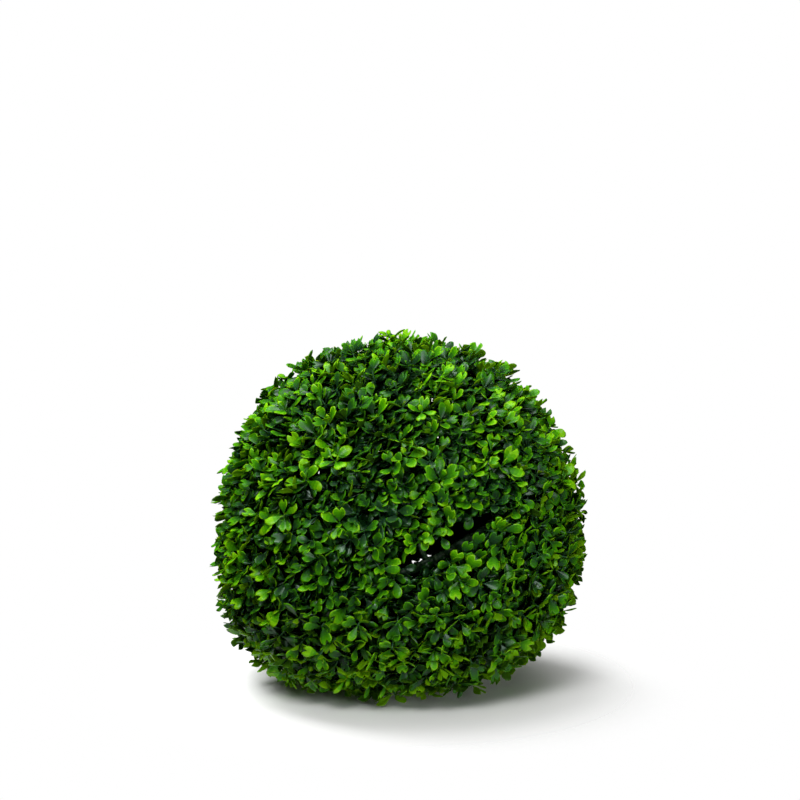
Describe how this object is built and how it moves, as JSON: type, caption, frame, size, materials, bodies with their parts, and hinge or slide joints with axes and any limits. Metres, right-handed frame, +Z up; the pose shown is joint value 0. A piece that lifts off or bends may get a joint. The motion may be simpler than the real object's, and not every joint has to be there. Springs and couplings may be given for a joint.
{
  "type": "artificial box topiary ball",
  "caption": "Clipped leafy garden ball of moulded box foliage in two halves round a seam rim, on a short stem inside.",
  "frame": {"origin": "middle of the flat cut under the short stem, at ground level", "axes": "+Z up through the ball; -Y is the front, where the two halves stand a little apart; +X to the right"},
  "size_m": [0.3783, 0.3749, 0.3537],
  "materials": {
    "stem": "rough bark",
    "foliage_upper": "satin leaves",
    "foliage_lower": "satin leaves",
    "rim": "dark green moulded"
  },
  "bodies": {
    "root": {"short_stem": "stem", "foliage_upper_half": "foliage_upper", "foliage_lower_half": "foliage_lower", "seam_rim": "rim"}
  },
  "joints": []
}
